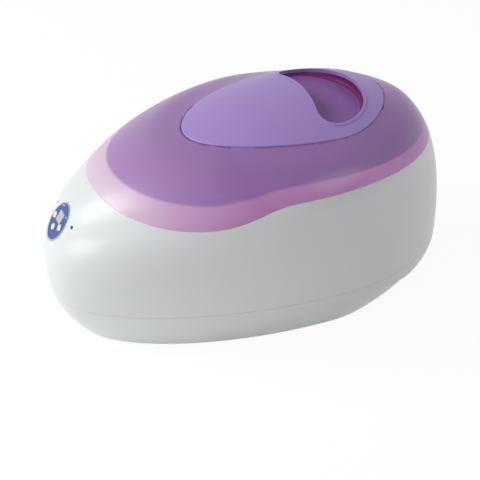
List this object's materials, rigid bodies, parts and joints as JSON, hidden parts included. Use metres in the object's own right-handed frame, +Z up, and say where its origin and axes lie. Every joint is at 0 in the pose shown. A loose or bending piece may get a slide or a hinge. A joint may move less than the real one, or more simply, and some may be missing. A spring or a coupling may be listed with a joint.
{
  "type": "paraffin bath",
  "caption": "Egg-shaped countertop paraffin wax bath with a heated tank, a control panel on the nose and a lift-off domed lid with a finger recess.",
  "frame": {"origin": "on the table under the middle of the bounding box", "axes": "+X across to the right as seen from the control panel, +Y from the control panel to the mains inlet, +Z up"},
  "size_m": [0.2299, 0.3889, 0.202],
  "materials": {
    "housing_plastic": "white moulded ABS, semi-gloss",
    "lid_plastic": "translucent purple moulded plastic, gloss",
    "handle_plastic": "lilac moulded plastic, semi-gloss",
    "rubber": "grey moulded rubber, matt",
    "screw_steel": "zinc-plated steel",
    "tank_aluminium": "drawn and anodised aluminium, satin",
    "grate_plastic": "white moulded polypropylene, matt",
    "element_steel": "stainless steel tube and sheet, matt",
    "wool": "mineral wool, fibrous",
    "ceramic": "ceramic casing, matt",
    "board": "green solder-masked laminate",
    "component_plastic": "black moulded nylon, matt",
    "transformer_core": "varnished laminated steel",
    "pin_brass": "brass, bright",
    "bezel_plastic": "pale blue moulded plastic",
    "label_film": "blue printed film, satin",
    "display_glass": "grey display window",
    "button_plastic": "white moulded plastic",
    "lamp_grey": "grey lens",
    "lamp_green": "dark green lens",
    "lead_sheath": "black sheath, matt"
  },
  "bodies": {
    "housing": {"upper_housing": "housing_plastic", "bottom_shell": "housing_plastic", "foot_front_left": "rubber", "foot_front_right": "rubber", "foot_rear_left": "rubber", "foot_rear_right": "rubber", "base_screws": "screw_steel", "tank": "tank_aluminium", "tank_seal": "rubber", "tank_screws": "screw_steel", "heater_plate": "tank_aluminium", "heating_element": "element_steel", "heater_terminals": "element_steel", "insulation_pad": "wool", "heat_shield": "element_steel", "heater_nuts": "screw_steel", "temperature_sensor": "ceramic", "thermal_fuse": "ceramic", "power_board": "board", "power_board_screws": "screw_steel", "transformer": "transformer_core", "heater_relay": "component_plastic", "terminal_block": "component_plastic", "power_inlet": "component_plastic", "inlet_pins": "pin_brass", "control_bezel": "bezel_plastic", "control_label": "label_film", "display_window": "display_glass", "lens_left": "lamp_grey", "lens_right": "lamp_green", "control_board": "board", "control_board_screws": "screw_steel", "display_module": "display_glass", "tact_switches": "component_plastic", "indicator_leds": "lamp_green", "mains_flex": "lead_sheath", "heater_leads": "lead_sheath", "sensor_lead": "lead_sheath", "display_lead": "lead_sheath"},
    "lid": {"lid": "lid_plastic", "lid_handle": "handle_plastic", "lid_screws": "screw_steel"},
    "grate": {"tank_grate": "grate_plastic"},
    "button_left": {"button_left": "button_plastic"},
    "button_lower": {"button_lower": "button_plastic"},
    "button_right": {"button_right": "button_plastic"}
  },
  "joints": [
    {"name": "lid_lift", "type": "slide", "parent": "housing", "child": "lid", "axis": [0, 0, 1], "range_m": [0, 0.12]},
    {"name": "grate_lift", "type": "slide", "parent": "housing", "child": "grate", "axis": [0, 0, 1], "range_m": [0, 0.08]},
    {"name": "button_left_press", "type": "slide", "parent": "housing", "child": "button_left", "axis": [0, 0.8141, -0.5807], "range_m": [0, 0.0008], "stiffness_N_per_m": 900, "springref_m": -0.0002},
    {"name": "button_lower_press", "type": "slide", "parent": "housing", "child": "button_lower", "axis": [0, 0.8141, -0.5807], "range_m": [0, 0.0008], "stiffness_N_per_m": 900, "springref_m": -0.0002},
    {"name": "button_right_press", "type": "slide", "parent": "housing", "child": "button_right", "axis": [0, 0.8141, -0.5807], "range_m": [0, 0.0008], "stiffness_N_per_m": 900, "springref_m": -0.0002}
  ]
}
